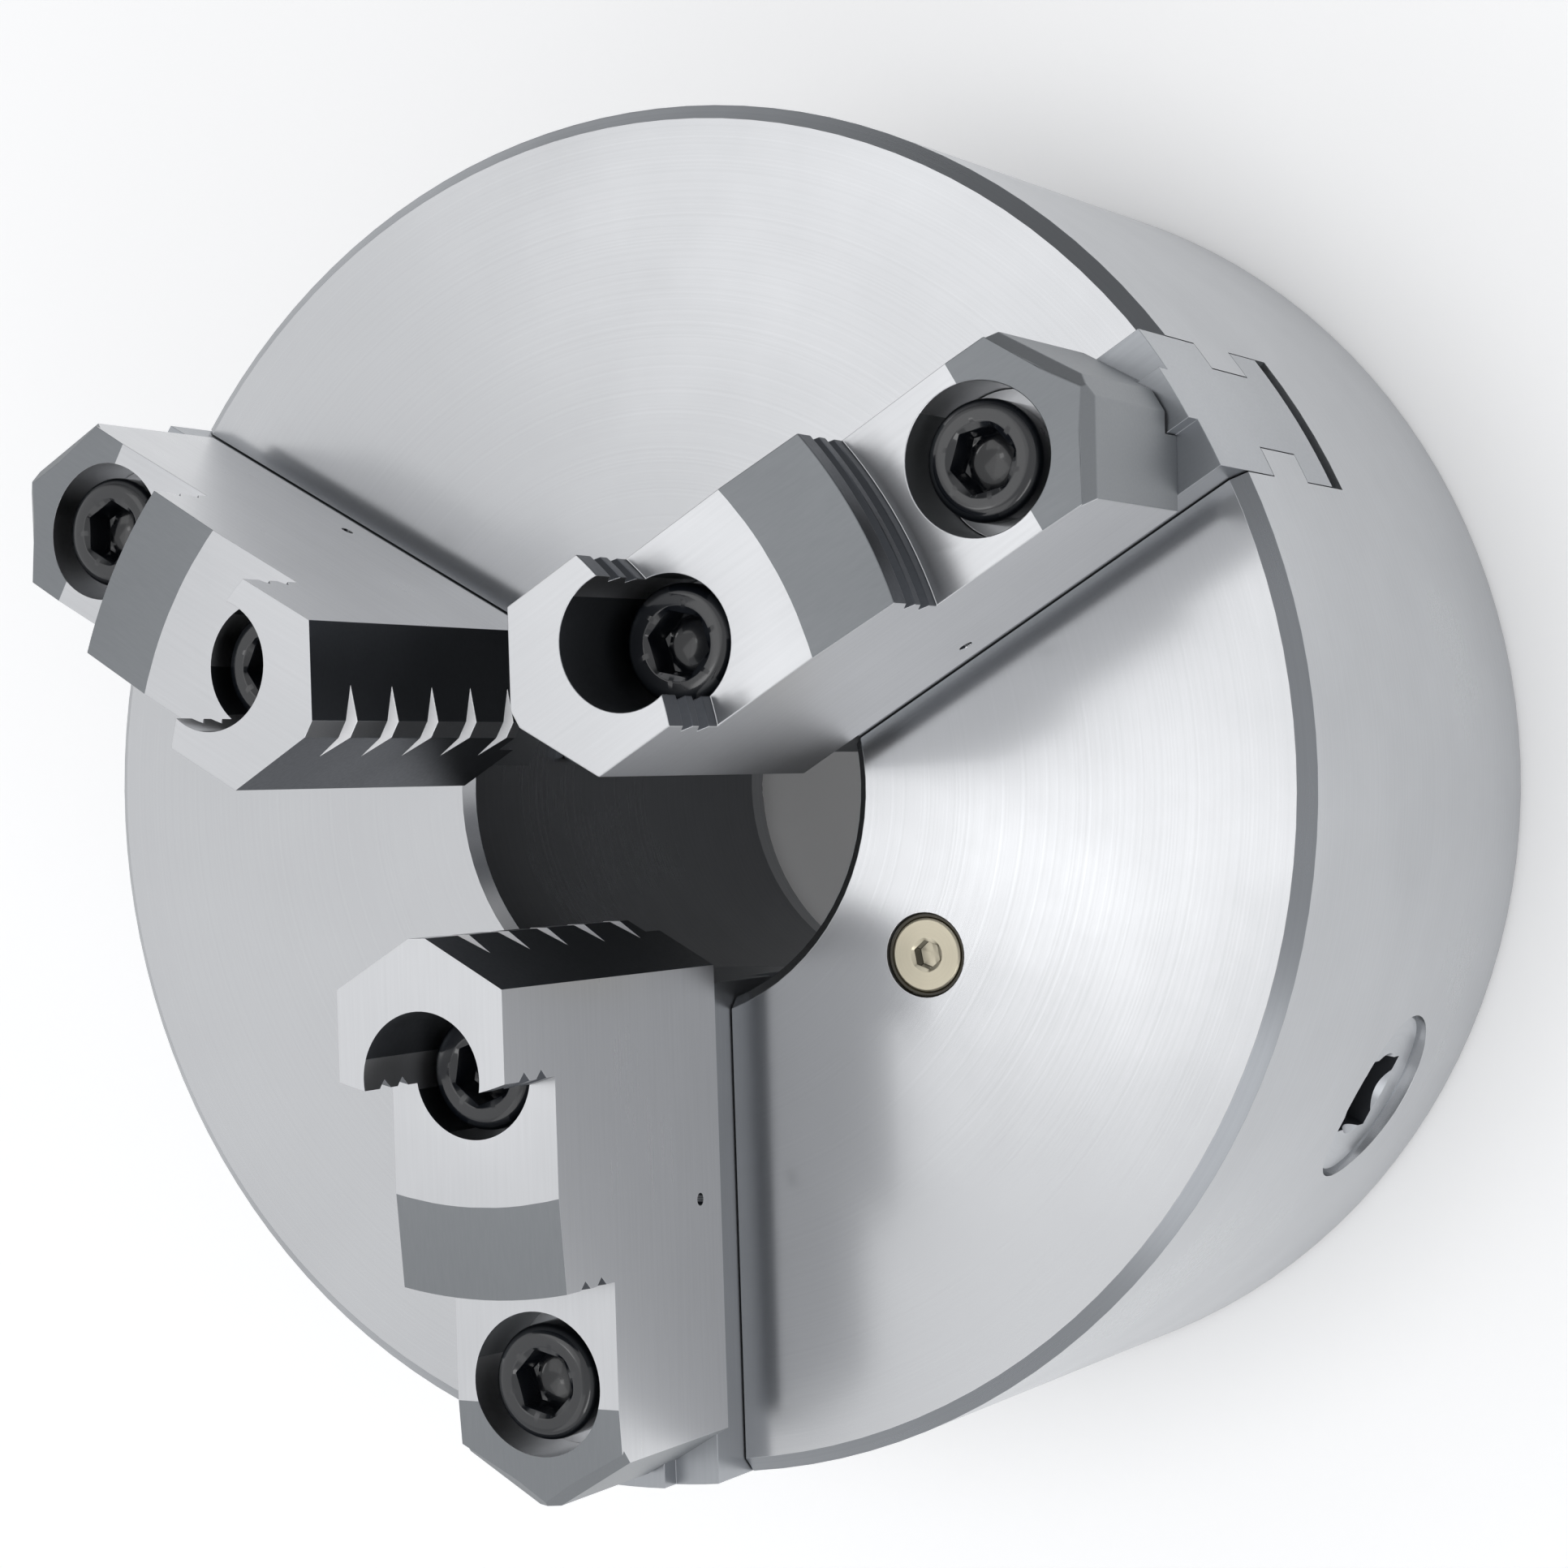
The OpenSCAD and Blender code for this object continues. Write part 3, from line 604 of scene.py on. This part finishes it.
def plug_rows(s, corner, bottom, top):
    """Rows of the oil plug from its inner end to the bottom of its socket."""
    chamfer, edge, lead_in = 0.6 * MM, 0.3 * MM, 0.35 * MM
    depth, tip_depth = 2.5 * MM, 2.9 * MM
    return [
        (0, bottom, 0),
        (s.plug_shank - chamfer, bottom, 0),
        (s.plug_shank, bottom + chamfer, 0),
        (s.plug_shank, top - s.plug_head, 0),
        (s.plug_radius, top - s.plug_head, 0),
        (s.plug_radius, top - edge, 0),
        (s.plug_radius - edge, top, 0),
        (corner + lead_in, top, 0),
        (corner, top - lead_in, 1),
        (corner, top - depth, 1),
        (0, top - tip_depth, 0),
    ]


# ---------------------------------------------------------------- operators


# Places of the finishes in the body's list and in a top jaw's list
FACE, BORE, RIM, BEVEL = range(4)
GROUND, MILLED, SHADED_WALL, GROOVE = range(4)


class ChuckMakeBody(bpy.types.Operator):
    """Finishes the body, the scroll plate and the back cover"""

    bl_idname = "chuck.make_body"
    bl_label = "Body and scroll"

    def execute(self, context):
        f = context.scene.chuck_finish
        turned = finish(turned_oiled_steel)
        mesh = welded("chuck_body")
        kinds = (ground_body_steel, shaded_bore_steel, turned_rim_steel_shaded, shaded_bevel_steel)
        finishes = [finish(kind) for kind in kinds]
        show("body_drum", mesh, "chuck", "chuck_body", f.body_edge, finishes)
        for face in mesh.polygons:
            reach = math.hypot(face.center.x, face.center.y)
            # The bore wall, the rim and the bevel take steels whose darker tints are painted shade
            if abs(face.normal.z) < 0.1:
                face.material_index = BORE if reach < BORE_EDGE else RIM
            elif face.normal.z < 0.9 and reach > RIM_RADIUS - BEVEL_BAND:
                face.material_index = BEVEL
        cover = welded("back_cover")
        show("rear_cover_ring", cover, "chuck", "back_cover", f.small_edge, [turned])
        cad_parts["scroll_plate"].material_slots[0].material = turned
        return {"FINISHED"}


def jaw_finish(face, outward):
    """Finish of a top jaw's face. The gentle slopes and the walls of the outer end are milled, and painted
    grey as shade;
    the slanted sides of the grip grooves in the nose are painted near white as a highlight. The other walls
    of the nose and the steps are painted dark as shade, and the flats, the sides and the nose's front are
    ground."""
    along, faces_out, up = face.center.dot(outward), face.normal.dot(outward), face.normal.z
    gentle_slope = 0.98 < up < 0.9995
    slanted = 0.2 < abs(up) < 0.95
    end_wall = abs(up) < 0.9 and abs(faces_out) > 0.3
    nose_front = faces_out < -0.9
    if gentle_slope:
        return MILLED
    if slanted and along < GROOVE_END:
        return GROOVE
    if not end_wall:
        return GROUND
    if along < STEPS_END:
        return GROUND if nose_front else SHADED_WALL
    return MILLED if faces_out > 0 else GROUND


class ChuckMakeJaws(bpy.types.Operator):
    """Finishes the master jaws, the top jaws and their keys"""

    bl_idname = "chuck.make_jaws"
    bl_label = "Jaws"

    def execute(self, context):
        f = context.scene.chuck_finish
        kinds = (ground_jaw_steel, shaded_slope_steel, shaded_wall_steel, groove_painted_highlight_steel)
        finishes = [finish(kind) for kind in kinds]
        master = finish(ground_master_steel)
        for i, degrees in JAW_ANGLES.items():
            node = f"master_jaw_{i}"
            show(f"base_jaw_{i}", welded(node), f"jaw_{i}", node, f.body_edge, [master])
            node = f"top_jaw_{i}"
            mesh = welded(node)
            show(f"upper_jaw_{i}", mesh, f"jaw_{i}", node, f.jaw_edge, finishes)
            outward = Vector((math.cos(math.radians(degrees)), math.sin(math.radians(degrees)), 0))
            for face in mesh.polygons:
                face.material_index = jaw_finish(face, outward)
            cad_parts[f"cross_key_{i}"].material_slots[0].material = master
        return {"FINISHED"}


class ChuckMakePinions(bpy.types.Operator):
    """Finishes the pinions with their square sockets"""

    bl_idname = "chuck.make_pinions"
    bl_label = "Pinions"

    def execute(self, context):
        f = context.scene.chuck_finish
        # The square sockets' walls get the dark steel as painted shade
        shaded_socket_wall = 1
        steels = [finish(turned_pinion_steel), finish(shaded_wall_steel)]
        for i, degrees in JAW_ANGLES.items():
            node = f"pinion_{i}"
            mesh = welded(node)
            show(f"key_pinion_{i}", mesh, node, node, f.small_edge, steels)
            axis = math.radians(degrees - PINION_LAG)
            outward = Vector((math.cos(axis), math.sin(axis), 0))
            for face in mesh.polygons:
                along = face.center.dot(outward)
                off_axis = face.center - outward * along - Vector((0, 0, PINION_HEIGHT))
                is_wall = abs(face.normal.dot(outward)) < 0.3
                if along > SOCKET_START and off_axis.length < SOCKET_REACH and is_wall:
                    face.material_index = shaded_socket_wall
        return {"FINISHED"}


class ChuckMakeScrews(bpy.types.Operator):
    """Makes the cap screws of the jaws, and finishes the screws of the back cover and the pinions"""

    bl_idname = "chuck.make_screws"
    bl_label = "Screws"

    def execute(self, context):
        s = context.scene.chuck_screws
        edge, cap_edge = context.scene.chuck_finish.small_edge, s.head_radius * 0.02
        black = [finish(black_oxide_steel)]
        for number, ends in enumerate(("inner", "outer")):
            for i, degrees in JAW_ANGLES.items():
                node = f"{ends}_jaw_screw_{i}"
                low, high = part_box(node)
                points, faces = turned_surface(screw_rows(s, low.z, high.z))
                centre = ((low.x + high.x) / 2, (low.y + high.y) / 2, 0)
                # Each screw stopped turning at its own angle
                turn = math.radians(degrees + 17 * i + 25 * number)
                mesh = clean_mesh(node + "_mesh", carried(points, centre, turn), faces)
                show(f"cap_screw_{ends}_{i}", mesh, f"jaw_{i}", node, cap_edge, black)
        for name, node in (
            ("cover_screws", "back_cover_screws"),
            ("pinion_stop_screws", "pinion_retaining_screws"),
        ):
            show(name, welded(node), "chuck", node, edge, black)
        return {"FINISHED"}


class ChuckMakePlug(bpy.types.Operator):
    """Makes the oil plug and the ring of sealant round it"""

    bl_idname = "chuck.make_plug"
    bl_label = "Oil plug"

    def execute(self, context):
        s = context.scene.chuck_screws
        plug_turn, plug_edge, seal_edge = math.radians(40), 0.08 * MM, 0.01 * MM
        seal_gap, seal_sunk, shaded_socket_wall = 0.4 * MM, 0.9 * MM, 1
        low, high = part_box("oil_plug")
        centre = plug_centre()
        corner = s.plug_hexagon / 2 / math.cos(math.pi / 6)
        points, faces = turned_surface(plug_rows(s, corner, low.z, high.z))
        mesh = clean_mesh("plug_mesh", carried(points, centre, plug_turn), faces)
        finishes = [finish(plated_plug_metal), finish(sealant_and_socket_shade)]
        show("plug_cap", mesh, "chuck", "oil_plug", plug_edge, finishes)
        # The socket's walls take the dark sealant colour as painted shade
        for face in mesh.polygons:
            reach = math.hypot(face.center.x - centre[0], face.center.y - centre[1])
            if reach < corner and abs(face.normal.z) < 0.5:
                face.material_index = shaded_socket_wall
        points, faces = ring_surface(s.plug_radius + seal_gap, s.seal_bead)
        seat = (centre[0], centre[1], FACE_HEIGHT - seal_sunk)
        mesh = clean_mesh("seal_mesh", carried(points, seat, 0), faces)
        show("plug_seal_ring", mesh, "chuck", None, seal_edge, [finish(sealant_and_socket_shade)])
        return {"FINISHED"}


# ---------------------------------------------------------------- stage


# Each lamp's name, direction from the middle of the front face, distance and size in metres, and power in
# watts. The small one draws the bright streak across the ground face
LAMPS = (
    ("soft_left", (-0.64, 0.12, 0.77), 1.0, 1.1, 0.85),
    ("streak_right", (-0.35, -0.062, 0.935), 1.03, 0.12, 0.08),
    ("soft_low", (-0.12, -0.55, 0.83), 1.1, 0.6, 0.5),
    ("soft_low_right", (0.75, -0.75, 0.55), 1.1, 0.6, 2.0),
    ("soft_top", (-0.2, 0.25, 1.0), 1.3, 0.8, 0.9),
)


def paper_floor(s):
    """A flat square of paper under the chuck."""
    h = FLOOR_HALF
    mesh = clean_mesh("floor_mesh", [(-h, -h, 0), (h, -h, 0), (h, h, 0), (-h, h, 0)], [(0, 1, 2, 3)])
    floor = bpy.data.objects.new("floor", mesh)
    bpy.context.scene.collection.objects.link(floor)
    mesh.materials.append(matt_paper("matt_paper", s))


def room_light(s):
    """A pale room whose end towards +Y is dark low down, so that the steel has something dark to mirror.
    What the camera sees behind the floor has the floor's colour."""
    world = bpy.data.worlds.new("room")
    world.use_nodes = True
    tree = world.node_tree
    tree.nodes.clear()
    dark_share = 0.25
    towards = add(tree, "TexCoord")["Generated"]
    _, back, up = add(tree, "SeparateXYZ", {0: towards})
    end = add(
        tree, "MapRange", {"Value": back, "From Min": 0.25, "From Max": 0.85, "To Min": 0.0, "To Max": 1.0},
        interpolation_type="SMOOTHSTEP",
    )[0]
    low = add(
        tree, "MapRange", {"Value": up, "From Min": 0.35, "From Max": 0.8, "To Min": 1.0, "To Max": 0.0},
        interpolation_type="SMOOTHSTEP",
    )[0]
    unlit = add(tree, "Math", {0: end, 1: low}, operation="MULTIPLY")[0]
    level = add(
        tree, "MapRange", {"Value": unlit, "To Min": s.sky_strength, "To Max": s.sky_strength * dark_share}
    )[0]
    glow = add(tree, "Background", {"Color": (*s.sky, 1), "Strength": level})[0]
    backdrop = add(tree, "Background", {"Color": (*s.floor, 1), "Strength": 1.0})[0]
    seen = add(tree, "LightPath")["Is Camera Ray"]
    both = add(tree, "MixShader", {0: seen, 1: glow, 2: backdrop})[0]
    add(tree, "OutputWorld", {"Surface": both})
    bpy.context.scene.world = world


def front_camera(s, middle):
    """The camera, placed by its turn, tilt and roll about the middle of the front face."""
    turn = (
        Matrix.Rotation(s.camera_turn, 3, "Y")
        @ Matrix.Rotation(s.camera_tilt, 3, "X")
        @ Matrix.Rotation(s.camera_roll, 3, "Z")
    )
    data = bpy.data.cameras.new("camera")
    data.lens, data.sensor_width, data.shift_x = s.focal_length, 36, s.camera_shift
    data.clip_start = 0.01
    camera = bpy.data.objects.new("camera", data)
    offset = turn @ Vector((s.camera_right, s.camera_up, s.camera_distance))
    camera.matrix_world = Matrix.Translation(middle + offset) @ turn.to_4x4()
    bpy.context.scene.collection.objects.link(camera)
    bpy.context.scene.camera = camera


def soft_lamps(middle):
    """The square soft lamps, each facing the middle of the front face."""
    for name, direction, distance, size, power in LAMPS:
        lamp = bpy.data.lights.new(name, "AREA")
        lamp.shape, lamp.size, lamp.energy = "SQUARE", size, power
        box = bpy.data.objects.new(name, lamp)
        away = Vector(direction).normalized()
        facing = away.to_track_quat("Z", "Y").to_matrix().to_4x4()
        box.matrix_world = Matrix.Translation(middle + away * distance) @ facing
        bpy.context.scene.collection.objects.link(box)


class ChuckMakeStage(bpy.types.Operator):
    """Lays the floor and sets up the camera and the soft lights"""

    bl_idname = "chuck.make_stage"
    bl_label = "Stage"

    def execute(self, context):
        s = context.scene.chuck_stage
        middle = Vector((0, 0, FACE_HEIGHT))
        paper_floor(s)
        room_light(s)
        front_camera(s, middle)
        soft_lamps(middle)
        context.scene.view_settings.view_transform = "Standard"
        return {"FINISHED"}


# ---------------------------------------------------------------- add-on


class ChuckPanel(bpy.types.Panel):
    """The chuck's pieces and settings in the sidebar of the 3D view"""

    bl_label = "Three-jaw chuck"
    bl_idname = "VIEW3D_PT_chuck"
    bl_space_type = "VIEW_3D"
    bl_region_type = "UI"
    bl_category = "Chuck"

    def draw(self, context):
        for operator in OPERATORS:
            self.layout.operator(operator.bl_idname)
        for name in GROUPS:
            group = getattr(context.scene, name)
            box = self.layout.box()
            for setting in group.__annotations__:
                box.prop(group, setting)


GROUPS = {"chuck_finish": ChuckFinish, "chuck_screws": ChuckScrews, "chuck_stage": ChuckStage}
OPERATORS = (
    ChuckMakeStage, ChuckMakeBody, ChuckMakeJaws, ChuckMakePinions, ChuckMakeScrews, ChuckMakePlug,
)


def register():
    for name, group in GROUPS.items():
        bpy.utils.register_class(group)
        setattr(bpy.types.Scene, name, PointerProperty(type=group))
    for item in (*OPERATORS, ChuckPanel):
        bpy.utils.register_class(item)


def unregister():
    for item in (ChuckPanel, *OPERATORS):
        bpy.utils.unregister_class(item)
    for name, group in GROUPS.items():
        delattr(bpy.types.Scene, name)
        bpy.utils.unregister_class(group)


def main():
    """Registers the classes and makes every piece."""
    register()
    for operator in OPERATORS:
        getattr(bpy.ops.chuck, operator.bl_idname.split(".")[1])()


if __name__ == "__main__":
    main()
